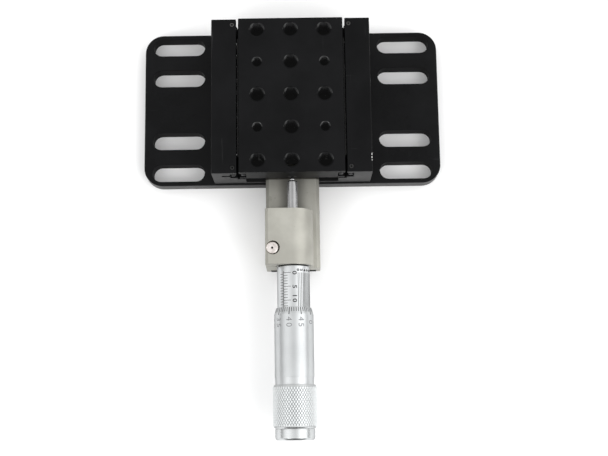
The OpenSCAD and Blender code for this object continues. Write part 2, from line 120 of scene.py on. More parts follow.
class Wire:  # one shader socket; arithmetic on it adds Math nodes
    def __init__(self, tree, socket=None):
        self.tree, self.socket = tree, socket

    def add(self, kind, settings=None, inputs=None, out=0):  # any node: settings first, then its sockets
        made = self.tree.nodes.new("ShaderNode" + kind)
        for key, value in (settings or {}).items():
            setattr(made, key, value)
        for key, value in (inputs or {}).items():
            if isinstance(value, Wire):
                self.tree.links.new(value.socket, made.inputs[key])
            else:
                made.inputs[key].default_value = value
        return Wire(self.tree, made.outputs[out] if len(made.outputs) else None)

    def maths(self, operation, a, b=0.0):
        return self.add("Math", {"operation": operation}, {0: a, 1: b})

    def __add__(self, other):
        return self.maths("ADD", self, other)

    def __radd__(self, other):
        return self.maths("ADD", other, self)

    def __sub__(self, other):
        return self.maths("SUBTRACT", self, other)

    def __rsub__(self, other):
        return self.maths("SUBTRACT", other, self)

    def __mul__(self, other):
        return self.maths("MULTIPLY", self, other)

    def __rmul__(self, other):
        return self.maths("MULTIPLY", other, self)

    def __abs__(self):
        return self.maths("ABSOLUTE", self)

    def fade(self, start, end, low=0.0, high=1.0):  # smooth step from low to high
        ends = {"Value": self, "From Min": start, "From Max": end, "To Min": low, "To Max": high}
        return self.add("MapRange", {"interpolation_type": "SMOOTHSTEP"}, ends)

    def tint(self, low, high):  # colour from low to high as this value goes from 0 to 1
        a, b = ((*tone, 1) if isinstance(tone, tuple) else tone for tone in (low, high))
        return self.add("Mix", {"data_type": "RGBA"}, {0: self, 6: a, 7: b}, 2)


finishes = {}  # materials by name


def startMaterial(name):
    material = finishes[name] = bpy.data.materials.new(name)
    material.use_nodes = True
    material.node_tree.nodes.clear()
    start = Wire(material.node_tree)
    return start, start.add("TexCoord", out="Object")


def endMaterial(start, sockets):
    shader = start.add("BsdfPrincipled", {}, sockets)
    start.add("OutputMaterial", {}, {"Surface": shader})


def grainOf(start, place, scale, detail, stretch=(1, 1, 1), roughness=0.6):  # noise, scale per metre
    drawn = start.add("VectorMath", {"operation": "MULTIPLY"}, {0: place, 1: stretch})
    inputs = {"Vector": drawn, "Scale": scale, "Detail": detail, "Roughness": roughness}
    return start.add("TexNoise", {}, inputs)


def bumpOf(start, height, look):  # depth in metres
    return start.add("Bump", {}, {"Strength": look["bump"], "Distance": look["depth"], "Height": height})


# black anodised aluminium: plate, body, carriage; a pair of bounds says where a noise starts and is full
anodisedLook = dict(
    dye=(0.0027, 0.0028, 0.0031), dyePale=(0.0050, 0.0051, 0.0056), dyeBounds=(0.3, 0.7),
    cloudScale=45, cloudBump=0.4, grainScale=5200, grainRough=0.06, depth=4e-6, bump=0.55,
    roughness=(0.25, 0.75, 0.34, 0.46),  # bounds, then the values
    scuff=(0.075, 0.075, 0.078), scuffPatch=70, patchBounds=(0.5, 0.66),
    scuffLines=((26, (60, 1.2, 8), (0.70, 0.76)), (24, (1.3, 70, 8), (0.715, 0.77))),  # scale, stretch, bounds
    bare=(0.62, 0.62, 0.60),  # metal where the dye is chipped off
    chipScale=1500, chipRagged=0.55, chipBounds=(0.92, 0.98),
)


def anodised(name, seed, scuffs, chips=(), specular=0.09, polish=0.0, paintedGlow=0.0):
    look = anodisedLook
    start, place = startMaterial(name)
    moved = start.add("VectorMath", {"operation": "ADD"}, {0: place, 1: (seed, 2 * seed, 3 * seed)})
    cloud, grain = grainOf(start, moved, look["cloudScale"], 4), grainOf(start, moved, look["grainScale"], 2)
    along, across = (grainOf(start, moved, scale, 2, stretch).fade(*bounds)
                     for scale, stretch, bounds in look["scuffLines"])
    patch = grainOf(start, moved, look["scuffPatch"], 2).fade(*look["patchBounds"])
    tone = cloud.fade(*look["dyeBounds"]).tint(look["dye"], look["dyePale"])
    tone = ((along + across) * patch * scuffs).tint(tone, look["scuff"])
    sockets = {
        "Base Color": tone,
        "Roughness": cloud.fade(*look["roughness"]) + grain * look["grainRough"] - polish,
        "Specular IOR Level": specular,
        "Emission Strength": paintedGlow,  # painted glow in place of stray light in deep holes
        "Normal": bumpOf(start, grain + cloud * look["cloudBump"], look),
    }
    bare = 0
    for x, y, z, reach in chips:
        spot = {0: place, 1: (x * mm, y * mm, z * mm)}
        near = start.add("VectorMath", {"operation": "DISTANCE"}, spot, "Value").fade(reach * mm, 0)
        ragged = grainOf(start, moved, look["chipScale"], 3).fade(*look["dyeBounds"]) * look["chipRagged"]
        bare = bare + (near + ragged).fade(*look["chipBounds"])
    if chips:
        sockets["Metallic"] = bare.fade(0, 1)
        sockets["Base Color"] = sockets["Metallic"].tint(tone, look["bare"])
    endMaterial(start, sockets)


railChips = ((29.45, -22.9, 23.9, 0.9), (29.45, -24.2, 23.9, 1.0), (29.45, -25.2, 23.9, 0.6))  # x, y, z, reach
anodised("plateBlack", 0.013, 1.0, specular=0.10, polish=0.13)
anodised("bodyBlack", 0.047, 0.3, railChips, polish=0.09)
anodised("carriageBlack", 0.081, 0.1)
anodised("slotBlack", 0.029, 0.2, specular=0.009, paintedGlow=0.005)
anodised("threadBlack", 0.063, 0.2, specular=0.42, polish=0.2, paintedGlow=0.0045)


def outOf(start, x, z):  # distance from the micrometer's axis
    rise = z - axisHeight * mm
    return start.maths("SQRT", x * x + rise * rise)


# painted shade, each as the arguments of a fade: where it starts, where it is full, in metres, and how much
paintedShadeLook = dict(
    film=0.18, track=(0.0064, 0.0020, 0, 0.34), left=(0.0005, -0.0040, 0, 0.04),
    corner=(-0.0385, -0.0427, 0, 0.3), cornerSide=(0.004, -0.002), hidden=(-0.0298, -0.0292, 0, 0.85),
    tongueTop=(0.0136, 0.0127), tongueFront=(-0.0520, -0.0400),
    valley=(0.00776, 0.00758), knurl=(-0.1057, -0.1060, 0, 0.5),
)


def underSpindle(start, x, y, z):  # painted shade on the tongue: below the spindle, beside the clamp block and under the carriage
    look = paintedShadeLook
    shadeSum = look["film"] + abs(x).fade(*look["track"]) + x.fade(*look["left"])
    shadeSum = shadeSum + y.fade(*look["corner"]) * x.fade(*look["cornerSide"])
    tongue = z.fade(*look["tongueTop"]) * y.fade(*look["tongueFront"])
    return start.maths("MAXIMUM", shadeSum, y.fade(*look["hidden"])) * tongue


# painted shade in the knurl's valleys
def knurlValleys(start, x, y, z):
    return outOf(start, x, z).fade(*paintedShadeLook["valley"]) * y.fade(*paintedShadeLook["knurl"])


# metals: one recipe, with turned rings, drawn lines or a blasted grain; scales per metre
metalLook = dict(  # what a metal below has unless it says otherwise
    cloudScale=90, cloudBounds=(0.3, 0.72), patchy=0.1, metallic=1.0, edgeTone=1.0,
    grainScale=3500, grainStretch=(1, 1, 1), grainRough=0.08, depth=1.5e-6, bump=0.5,
    ringGrain=0.25, ringRough=0.12, ringTone=(0.35, 0.65, 0, 0.35),
    dullEdge=0.0003, dullRough=0.16, stainBounds=(0.63, 0.72), stainTone=0.5, stainRough=0.12,
)
metalLooks = dict(
    bracketNickel=dict(dark=(0.385, 0.378, 0.340), pale=(0.468, 0.461, 0.418), roughness=0.56, grainScale=2600,
        depth=6e-6, bump=0.6, patchy=0.14, spots=420, dirt=(0.016, 0.014, 0.011), shade=underSpindle),
    sleeveChrome=dict(dark=(0.55, 0.565, 0.57), pale=(0.63, 0.645, 0.65), edgeTone=0.5, roughness=0.33,
        patchy=0.06, grainScale=5200, bump=0.4),
    thimbleChrome=dict(dark=(0.515, 0.53, 0.535), pale=(0.585, 0.60, 0.605), edgeTone=0.5, roughness=0.36,
        patchy=0.05, rings=5200, depth=8e-7, bump=0.35,
        dull=-0.1058, dullTone=(0.79, 0.81, 0.815), dirt=(0.24, 0.245, 0.245), shade=knurlValleys),
    capChrome=dict(dark=(0.56, 0.575, 0.58), pale=(0.64, 0.655, 0.66), edgeTone=0.5, roughness=0.27,
        patchy=0.05, rings=2600, endFace=True, depth=6e-7, bump=0.25),
    groundSteel=dict(dark=(0.28, 0.28, 0.283), pale=(0.37, 0.37, 0.37), metallic=0.75, edgeTone=0.5,
        roughness=0.12, rings=6200, depth=1e-6, bump=0.4),
    rodSteel=dict(dark=(0.07, 0.07, 0.073), pale=(0.14, 0.14, 0.143), roughness=0.42, rings=4200, bump=0.4),
    ballSteel=dict(dark=(0.62, 0.62, 0.63), pale=(0.75, 0.75, 0.75), roughness=0.34, patchy=0.05, bump=0.15),
    tipSteel=dict(dark=(0.30, 0.30, 0.305), pale=(0.38, 0.38, 0.38), roughness=0.08, patchy=0.05, bump=0.15),
    machinedSteel=dict(dark=(0.48, 0.48, 0.49), pale=(0.62, 0.62, 0.62), roughness=0.3,
        grainScale=4200, depth=2e-6),
    paleScrew=dict(dark=(0.58, 0.53, 0.50), pale=(0.88, 0.83, 0.80), cloudScale=900, roughness=0.36,
        grainScale=4800, depth=2e-6, spots=900),
    springSteel=dict(dark=(0.41, 0.41, 0.42), pale=(0.58, 0.58, 0.58), roughness=0.26, grainScale=6000,
        patchy=0.2, bump=0.4),
    blackOxide=dict(dark=(0.018, 0.018, 0.02), pale=(0.04, 0.04, 0.043), metallic=0.6, roughness=0.42,
        grainScale=4000, depth=3e-6),
    cageStrip=dict(dark=(0.020, 0.020, 0.021), pale=(0.045, 0.044, 0.043), metallic=0.7, roughness=0.4,
        grainScale=3000, grainStretch=(1, 0.05, 1)),
    wornScrew=dict(dark=(0.025, 0.025, 0.025), pale=(0.09, 0.088, 0.085), metallic=0.8, roughness=0.42,
        grainScale=5200, depth=3e-6, spots=1200),
)


def metalFinish(name, look):
    start, place = startMaterial(name)
    cloud = grainOf(start, place, look["cloudScale"], 3)
    grain = grainOf(start, place, look["grainScale"], 2, look["grainStretch"])
    tone, height = cloud.fade(*look["cloudBounds"]).tint(look["dark"], look["pale"]), grain
    rough = look["roughness"] + (cloud - 0.5) * look["patchy"] + (grain - 0.5) * look["grainRough"]
    x, y, z = (start.add("SeparateXYZ", {}, {0: place}, axis) for axis in range(3))
    if "rings" in look:  # marks of the lathe, round the y axis
        lane = y + outOf(start, x, z) if "endFace" in look else y
        inputs = {"W": lane, "Scale": look["rings"], "Detail": 3.0}
        fine = start.add("TexNoise", {"noise_dimensions": "1D"}, inputs)
        height = height * look["ringGrain"] + fine
        rough = rough + (fine - 0.5) * look["ringRough"]
        if "dull" in look:  # rougher and paler beyond this place on the axis
            past = y.fade(look["dull"], look["dull"] - look["dullEdge"])
            rough = rough + past * look["dullRough"]
            tone = past.tint(tone, look["dullTone"])
        tone = fine.fade(*look["ringTone"]).tint(tone, look["pale"])
    if "spots" in look:  # small dull stains
        stain = grainOf(start, place, look["spots"], 4).fade(*look["stainBounds"])
        tone = (stain * look["stainTone"]).tint(tone, look["dark"])
        rough = rough + stain * look["stainRough"]
    if "shade" in look:  # painted shade, 0 to 1 at each place
        tone = look["shade"](start, x, y, z).tint(tone, look["dirt"])
    endMaterial(start, {
        "Base Color": tone,
        "Metallic": look["metallic"],
        "Specular Tint": (look["edgeTone"],) * 3 + (1,),
        "Roughness": rough,
        "Normal": bumpOf(start, height, look),
    })


for name, look in metalLooks.items():
    metalFinish(name, {**metalLook, **look})

# ink in the scale marks, and the matte black of painted shadows
inkLook = dict(
    grainScale=6000, bounds=(0.35, 0.75), roughness=0.5, grainRough=0.2, specular=0.3, depth=2e-6, bump=0.4,
)
shadowBlackLook = dict(
    grainScale=3000, bounds=(0.3, 0.7), roughness=0.85, grainRough=0.1, specular=0.05, depth=8e-6, bump=0.5,
)


def plainFinish(name, look, dark, pale):
    start, place = startMaterial(name)
    grain = grainOf(start, place, look["grainScale"], 3)
    endMaterial(start, {
        "Base Color": grain.fade(*look["bounds"]).tint(dark, pale),
        "Roughness": look["roughness"] + grain * look["grainRough"],
        "Specular IOR Level": look["specular"],
        "Normal": bumpOf(start, grain, look),
    })


plainFinish("blackRubber", shadowBlackLook, (0.006, 0.006, 0.006), (0.014, 0.014, 0.014))
plainFinish("sleeveInk", inkLook, (0.012, 0.012, 0.013), (0.03, 0.03, 0.03))
plainFinish("thimbleInk", inkLook, (0.015, 0.015, 0.016), (0.04, 0.04, 0.04))
plainFinish("paleInk", inkLook, (0.16, 0.165, 0.17), (0.25, 0.255, 0.26))
print("materials made,", len(bpy.data.materials))


def newLoop(bm, points):
    return [bm.verts.new(p) for p in points]


def wallBetween(bm, a, b, slot=0, skip=()):  # quads from one closed loop to the next; one point makes a fan
    count = max(len(a), len(b))
    for i in range(count):
        j = (i + 1) % count
        if i in skip:
            continue
        if len(a) == 1:
            corners = (a[0], b[j], b[i])
        elif len(b) == 1:
            corners = (a[i], a[j], b[0])
        else:
            corners = (a[i], a[j], b[j], b[i])
        bm.faces.new(corners).material_index = slot


def skin(bm, rings, slot=0):  # walls from each loop to the next
    for a, b in zip(rings, rings[1:]):
        wallBetween(bm, a, b, slot)


def fillAround(bm, outer, holes, normal):  # flat face inside an outer loop, with holes in it
    loops = [outer, *holes]
    flat = max(range(3), key=lambda axis: abs(normal[axis]))
    keep = [axis for axis in range(3) if axis != flat]
    corners = sum(loops, [])
    spots = [Vector((p.co[keep[0]], p.co[keep[1]])) for p in corners]
    edges, start = [], 0
    for loop in loops:
        edges += [(start + i, start + (i + 1) % len(loop)) for i in range(len(loop))]
        start += len(loop)
    made = delaunay_2d_cdt(spots, edges, [], 1, 1e-5)
    places, faces, sources = made[0], made[2], made[3]
    for face in faces:
        used = [corners[sources[i][0]] for i in face if sources[i]]
        if len(set(used)) < 3:
            continue
        middle = sum((places[i] for i in face), Vector((0, 0))) / len(face)
        inside = False
        for a, b in edges:  # counts the edges to the right of the middle
            p, q = spots[a], spots[b]
            if (p.y > middle.y) == (q.y > middle.y):
                continue
            if middle.x < p.x + (middle.y - p.y) * (q.x - p.x) / (q.y - p.y):
                inside = not inside
        if inside:
            bm.faces.new(used)


def roundCorners(corners, steps=3):  # (x, y, radius) corners to an outline with arcs
    outline = []
    for i, (x, y, radius) in enumerate(corners):
        here = Vector((x, y))
        if radius <= 0:
            outline.append(here)
            continue
        back = (Vector(corners[i - 1][:2]) - here).normalized()
        ahead = (Vector(corners[(i + 1) % len(corners)][:2]) - here).normalized()
        half = back.angle(ahead) / 2
        middle = here + (back + ahead).normalized() * radius / math.sin(half)
        first = here + back * radius / math.tan(half) - middle
        last = here + ahead * radius / math.tan(half) - middle
        a = math.atan2(first.y, first.x)
        sweep = (math.atan2(last.y, last.x) - a + math.pi) % fullTurn - math.pi
        for k in range(steps + 1):
            t = a + sweep * k / steps
            outline.append(middle + Vector((math.cos(t), math.sin(t))) * radius)
    return outline


def rectangle(low, high, lowRound=0, highRound=0):  # corners for roundCorners
    return [(low[0], low[1], lowRound), (high[0], low[1], lowRound),
            (high[0], high[1], highRound), (low[0], high[1], highRound)]


def mirrored(half):  # the other half of a section, in the order that goes on from it
    return [(-x, z, radius) for x, z, radius in reversed(half)]


def insetOutline(outline, gap):  # anticlockwise outline moved inwards, corners mitred
    moved = []
    for i, here in enumerate(outline):
        back = (here - outline[i - 1]).normalized()
        ahead = (outline[(i + 1) % len(outline)] - here).normalized()
        a, b = Vector((-back.y, back.x)), Vector((-ahead.y, ahead.x))
        moved.append(here + (a + b) * gap / (1 + a.dot(b)))
    return moved


def flatPlan(x, y, z):  # prism that stands on its outline
    return Vector((x, y, z))


def acrossSection(x, z, y):  # prism whose outline is a section across y
    return Vector((x, y, z))


def prism(bm, outline, low, high, edge, place, openSides=(), lowHoles=(), highHoles=(), steps=2):
    levels = []  # rounded rims at both ends: inset and height of each ring
    for k in range(steps + 1):
        a = math.pi / 2 * k / steps
        levels.append((edge * (1 - math.sin(a)), low + edge * (1 - math.cos(a))))
    levels += [(gap, low + high - level) for gap, level in reversed(levels)]
    rings = [newLoop(bm, [place(p.x, p.y, level) for p in insetOutline(outline, gap)]) for gap, level in levels]
    for k in range(len(rings) - 1):
        wallBetween(bm, rings[k], rings[k + 1], skip=openSides if k == steps else ())
    axis = place(0, 0, 1)
    fillAround(bm, rings[0], lowHoles, axis)
    fillAround(bm, rings[-1], highHoles, axis)
    return rings[steps], rings[steps + 1]


def longSides(outline, level, least=2):  # outline edges at this height that are longer than a rounding
    sides = []
    for i, here in enumerate(outline):
        there = outline[(i + 1) % len(outline)]
        if max(abs(here.y - level), abs(there.y - level)) < 1e-4 and (there - here).length > least:
            sides.append(i)
    return sides


def fillSide(bm, rings, side, holes):  # one open wall of a prism, level, with holes in it
    a, b = rings
    j = (side + 1) % len(a)
    fillAround(bm, [a[side], a[j], b[j], b[side]], holes, Vector((0, 0, 1)))


def lathe(bm, profile, place, count, closed=False):  # (radius, along) profile turned round an axis
    rings = []
    for radius, along in profile:
        turns = 1 if radius < 1e-6 else count
        rings.append(newLoop(bm, [place(radius, along, fullTurn * i / count) for i in range(turns)]))
    skin(bm, rings)
    if closed:
        wallBetween(bm, rings[-1], rings[0])
    return rings


def lengthwise(x, z):  # lathe axis along y
    return lambda r, along, a: Vector((x + r * math.sin(a), along, z + r * math.cos(a)))


def upright(x, y):  # lathe axis along z
    return lambda r, along, a: Vector((x + r * math.cos(a), y + r * math.sin(a), along))


onAxis = lengthwise(0, axisHeight)


def turned(profile, count, closed=False):  # new mesh turned round the micrometer's axis
    bm = bmesh.new()
    lathe(bm, profile, onAxis, count, closed)
    return bm


def addBall(bm, spot, radius, look):
    around, rows = pick(look, "segments rings")
    place = Matrix.Translation(spot)
    bmesh.ops.create_uvsphere(bm, u_segments=around, v_segments=rows, radius=radius, matrix=place)


def tube(bm, path, radius, sides):  # wire along a path, closed at both ends
    points = [Vector(p) for p in path]
    normal = Vector((0, 0, 1))
    turn = [fullTurn * k / sides for k in range(sides)]
    rings = []
    for i, here in enumerate(points):
        along = (points[min(i + 1, len(points) - 1)] - points[max(i - 1, 0)]).normalized()
        normal = (normal - along * normal.dot(along)).normalized()
        other = along.cross(normal)
        rings.append(newLoop(bm, [here + (normal * math.cos(t) + other * math.sin(t)) * radius for t in turn]))
    skin(bm, rings)
    bm.faces.new(rings[0])
    bm.faces.new(rings[-1])


def paintSince(bm, before, slot, where):  # another finish on faces made since then, where their middle fits
    bm.faces.ensure_lookup_table()
    for face in bm.faces[before:]:
        if where(face.calc_center_median()):
            face.material_index = slot


def makePiece(name, bm, finish, body=None, stands=(), sharp=35):
    bmesh.ops.recalc_face_normals(bm, faces=bm.faces)
    bmesh.ops.scale(bm, vec=(mm, mm, mm), verts=bm.verts)
    mesh = bpy.data.meshes.new(name)
    bm.to_mesh(mesh)
    bm.free()
    for slotFinish in finish.split():  # the first is on every face that isn't painted
        mesh.materials.append(finishes[slotFinish])
    mesh.shade_smooth()
    mesh.set_sharp_from_angle(angle=math.radians(sharp))
    piece = addObject(name, mesh)
    soft = piece.modifiers.new("flatFaceShading", "WEIGHTED_NORMAL")
    soft.keep_sharp = True
    if body:
        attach(piece, body)
    if stands:
        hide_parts(*stands)
    print("made", name, len(mesh.polygons), "faces")
    return piece


# base plate: slab with round corners, eight slots and four countersunk holes from below
plateLook = dict(
    corner=7.0, cornerSteps=10, edge=0.3, slotRim=0.15, rimRound=0.3, slotSteps=10,
    screwRadius=1.53, screwRim=2.83, screwSink=0.2, screwX=24.875, screwY=24.0, around=32,
)


def slotLoop(bm, x, y, length, radius, z, steps):
    reach, points = length / 2 - radius, []
    for side, first in ((1, -math.pi / 2), (-1, math.pi / 2)):
        for k in range(steps + 1):
            a = first + math.pi * k / steps
            points.append((x + side * reach + radius * math.cos(a), y + radius * math.sin(a), z))
    return newLoop(bm, points)


def makeBasePlate(look):
    low, high = spanOf("base_plate")
    bm = bmesh.new()
    tops, bottoms = [], []
    rim, steps = pick(look, "slotRim slotSteps")
    bend = rim * look["rimRound"]
    levels = ((rim, high.z), (bend, high.z - bend), (0, high.z - rim), (0, low.z + rim), (rim, low.z))
    for name in ("base_slots_outer", "base_slots_inner"):
        radius, length = mounts[name]["dims"]["hole_r_mm"], mounts[name]["dims"]["slot_length_mm"]
        for x, y in patternOf(name):
            loops = [slotLoop(bm, x, y, length + 2 * gap, radius + gap, z, steps) for gap, z in levels]
            skin(bm, loops, 1)
            tops.append(loops[0])
            bottoms.append(loops[-1])
    rim, radius, seat = look["screwRim"], look["screwRadius"], low.z + look["screwSink"]
    levels = [(rim, low.z), (rim, seat), (radius, seat + rim - radius), (radius, high.z)]
    for sx in (-1, 1):
        for sy in (-1, 1):
            rings = lathe(bm, levels, upright(sx * look["screwX"], sy * look["screwY"]), look["around"])
            bottoms.append(rings[0])
            tops.append(rings[-1])
    outline = roundCorners(rectangle(low, high, look["corner"], look["corner"]), look["cornerSteps"])
    prism(bm, outline, low.z, high.z, look["edge"], flatPlan, (), bottoms, tops)
    makePiece("basePlate", bm, "plateBlack slotBlack", "base", ("base_plate",))


makeBasePlate(plateLook)

# stage body: floor and two rails with ball-way grooves; the left rail has a relief slit
bodyLook = dict(
    channel=17.2, floor=8.8, railInner=20.25, ledge=13.9, grooveDepth=2.535, grooveHalf=2.91,
    slitDepth=3.1, slitHalf=0.75, edge=0.22, topRound=0.4, bottomRound=0.25, lip=0.3,
    screwHole=0.81, screwPlay=0.01, holeChamfer=0.12, around=24,
    rearWall=1.5, wallSet=0.02, wallSunk=0.1, wallEdge=0.1, dullMargin=(0.01, 0.2),
)


def makeBody(look):
    low, high = spanOf("stage_body")
    screwLow, screwHigh = spanOf("rod_set_screws")
    upper, lower = wayHeight + look["grooveHalf"], wayHeight - look["grooveHalf"]
    inner, lip, channel, floor, ledge = pick(look, "railInner lip channel floor ledge")
    deep = inner + look["grooveDepth"]
    right = [
        (high.x, low.z, look["bottomRound"]), (high.x, high.z, look["topRound"]), (inner, high.z, lip),
        (inner, upper, lip), (deep, upper, 0), (deep, lower, 0), (inner, lower, lip), (inner, ledge, 0),
        (channel, ledge, lip), (channel, floor, 0),
    ]
    left = mirrored(right)
    slit = deep + look["slitDepth"]
    slitLow, slitHigh = wayHeight - look["slitHalf"], wayHeight + look["slitHalf"]
    spot = left.index((-deep, upper, 0))
    left[spot:spot] = [(-deep, slitLow, 0), (-slit, slitLow, 0), (-slit, slitHigh, 0), (-deep, slitHigh, 0)]
    bm = bmesh.new()
    outline = roundCorners(left[-1:] + right + left[:-1])  # from the lower left corner on
    sides = longSides(outline, high.z)
    rings = prism(bm, outline, low.y, high.y, look["edge"], acrossSection, sides)
    radius, chamfer = look["screwHole"], look["holeChamfer"]
    inset = radius - look["screwPlay"]
    screwX, screwY = screwHigh.x - inset, (screwHigh.y - screwLow.y) / 2 - inset
    levels = [(radius + chamfer, high.z), (radius, high.z - chamfer), (radius, screwLow.z), (0, screwLow.z)]
    for side in sides:
        x = math.copysign(screwX, outline[side].x)
        holes = [lathe(bm, levels, upright(x, end * screwY), look["around"])[0] for end in (-1, 1)]
        fillSide(bm, rings, side, holes)
    sunk = look["wallSunk"]  # the rear wall reaches into floor and ledges
    wall = rectangle((-channel - sunk, floor - sunk), (channel + sunk, ledge))
    near, far = high.y - look["rearWall"], high.y - look["wallSet"]
    prism(bm, roundCorners(wall), near, far, look["wallEdge"], acrossSection)
    # the channel's faces take the dull black, whose painted glow shows through the carriage's holes
    below, rear = look["dullMargin"]
    paintSince(bm, 0, 1, lambda p: abs(p.x) < channel and floor - below < p.z < ledge and p.y < high.y - rear)
    makePiece("stageBody", bm, "bodyBlack slotBlack", "base", ("stage_body",))


makeBody(bodyLook)

# carriage: block with way grooves, fifteen tapped holes and the contact pad's pocket
carriageLook = dict(
    grooveDepth=2.535, grooveHalf=2.91, edge=0.22, topRound=0.4, bottomRound=0.3, lip=0.3,
    padRadius=1.72, padDepth=1.38, around=32, sharp=24,
    holes=dict(
        large=dict(major=2.92, core=2.45, pitch=1.0, rim=2.97),
        small=dict(major=1.95, core=1.6, pitch=0.7, rim=1.99),
    ),
    patterns=dict(
        large=("carriage_m6_corners", "carriage_m6_middle_row", "carriage_m6_column_outer",
               "carriage_m6_column_inner", "carriage_m6_centre"),
        small=("carriage_m4_square",),
    ),
    countersink=0.6,  # depth of the upper mouth for its width
    threadRows=6,  # rings to a turn of the thread
    flank=(1.3, 0.15),  # slope and flat of the thread
)


def tappedHole(bm, x, y, top, bottom, size, look):  # thread between two countersunk mouths; returns both rims
    place, count, rim, major = upright(x, y), look["around"], size["rim"], size["major"]
    upper, lower = top - look["countersink"] * (rim - major), bottom + (rim - major)
    rows = round((upper - lower) / size["pitch"] * look["threadRows"])
    slope, flat = look["flank"]

    def ring(z, radius=None):  # follows the thread unless it has a radius
        points = []
        for i in range(count):
            phase = (z / size["pitch"] - i / count) % 1
            flank = min(max(slope * (1 - abs(2 * phase - 1)) - flat, 0), 1)
            points.append(place(radius or major + (size["core"] - major) * flank, z, fullTurn * i / count))
        return newLoop(bm, points)

    rings = [ring(top, rim), ring(upper, major)]
    rings += [ring(upper + (lower - upper) * k / rows) for k in range(1, rows)]
    rings += [ring(lower, major), ring(bottom, rim)]
    skin(bm, rings[:2], 2)  # the mouth is dull
    before = len(bm.faces)
    skin(bm, rings[1:], 1)
    paintSince(bm, before, 2, lambda p: p.y < y)  # the near half of the thread takes the dull black: painted shade
    return rings[0], rings[-1]


def makeCarriage(look):
    low, high = spanOf("carriage")
    upper, lower = wayHeight + look["grooveHalf"], wayHeight - look["grooveHalf"]
    deep, lip = high.x - look["grooveDepth"], look["lip"]
    half = [(high.x, low.z, look["bottomRound"]), (high.x, lower, lip), (deep, lower, 0), (deep, upper, 0),
            (high.x, upper, lip), (high.x, high.z, look["topRound"])]
    bm = bmesh.new()
    outline = roundCorners(half + mirrored(half))
    topSide, lowSide = longSides(outline, high.z)[0], longSides(outline, low.z)[0]
    radius, seat = look["padRadius"], low.y + look["padDepth"]
    pad = lathe(bm, [(radius, low.y), (radius, seat), (0, seat)], onAxis, look["around"])
    rings = prism(bm, outline, low.y, high.y, look["edge"], acrossSection, (topSide, lowSide), [pad[0]])
    tops, bottoms = [], []
    for kind, size in look["holes"].items():
        for x, y in sum((patternOf(name) for name in look["patterns"][kind]), []):
            rimTop, rimLow = tappedHole(bm, x, y, high.z, low.z, size, look)
            tops.append(rimTop)
            bottoms.append(rimLow)
    fillSide(bm, rings, topSide, tops)
    fillSide(bm, rings, lowSide, bottoms)
    finish = "carriageBlack threadBlack slotBlack"
    makePiece("carriageBlock", bm, finish, "carriage", ("carriage",), look["sharp"])


makeCarriage(carriageLook)

# bracket: tongue with its end under the carriage, legs in front of the plate, split clamp block
bracketLook = dict(edge=0.16, weld=0.003, flatAngle=1, cornerAngle=28)  # mm and degrees


def makeBracket(look):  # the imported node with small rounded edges
    bm = bmesh.new()
    bm.from_mesh(frame["nodes"]["micrometer_bracket"].data)
    bmesh.ops.scale(bm, vec=(1 / mm, 1 / mm, 1 / mm), verts=bm.verts)
    bmesh.ops.remove_doubles(bm, verts=bm.verts, dist=look["weld"])
    bmesh.ops.dissolve_limit(bm, angle_limit=math.radians(look["flatAngle"]), verts=bm.verts, edges=bm.edges)
    least = math.radians(look["cornerAngle"])
    corners = [e for e in bm.edges if len(e.link_faces) == 2 and e.calc_face_angle() > least]
    bmesh.ops.bevel(bm, geom=corners, offset=look["edge"], offset_type="OFFSET", segments=2, profile=0.5,
                    affect="EDGES", clamp_overlap=True)
    makePiece("micrometerBracket", bm, "bracketNickel", "base", ("micrometer_bracket",))


makeBracket(bracketLook)

# dark strip between the bracket's legs, seen below the clamp block: a painted shadow
shadowStripLook = dict(halfWidth=8.45, low=2.7, high=6.5, back=0.9, set=-0.04, corner=0.2, edge=0.1)


def makeStrip(look):
    front, wide = spanOf("micrometer_bracket")[0].y + look["set"], look["halfWidth"]
    outline = roundCorners(rectangle((-wide, look["low"]), (wide, look["high"]), look["corner"]))
    bm = bmesh.new()
    prism(bm, outline, front, front + look["back"], look["edge"], acrossSection)
    makePiece("legStrip", bm, "blackRubber", "base")


makeStrip(shadowStripLook)

# ball ways: ground rods, and balls that travel with their cages
wayLook = dict(rodChamfer=0.25, around=32, balls=10, segments=28, rings=18, sharp=60)


def makeRods(node, body, look):
    low, high = spanOf(node)
    radius, chamfer = (high.x - low.x) / 2, look["rodChamfer"]
    profile = [(0, low.y), (radius - chamfer, low.y), (radius, low.y + chamfer),
               (radius, high.y - chamfer), (radius - chamfer, high.y), (0, high.y)]
    bm = bmesh.new()
    for z in (low.z + radius, high.z - radius):
        lathe(bm, profile, lengthwise((low.x + high.x) / 2, z), look["around"])
    makePiece(node + "_ground", bm, "rodSteel", body, (node,))


def makeBalls(node, body, finish, look):
    low, high = spanOf(node)
    radius = (high.z - low.z) / 2
    bm = bmesh.new()
    for i in range(look["balls"]):
        y = low.y + radius + (high.y - low.y - 2 * radius) * i / (look["balls"] - 1)
        addBall(bm, ((low.x + high.x) / 2, y, (low.z + high.z) / 2), radius, look)
    makePiece(node + "_polished", bm, finish, body, (node,), look["sharp"])


for side, finish in (("left", "ballSteel"), ("right", "rodSteel")):  # the right row takes the dark rod finish: painted shade
    makeRods(side + "_rail_rods", "base", wayLook)
    makeRods(side + "_carriage_rods", "carriage", wayLook)
    makeBalls(side + "_balls", side + "_cage", finish, wayLook)

# screws with hex sockets
clampLook = dict(
    shank=1.1, footChamfer=0.15, head=2.25, headHeight=2.0, raised=0.45, shift=-0.26,
    edge=0.3, socket=0.38, depth=1.0, cone=0.3, around=36,
)
setScrewLook = dict(
    shank=0.79, footChamfer=0.15, head=0.8, edge=0.1, socket=0.36, depth=0.9, cone=0.3, around=24,
)


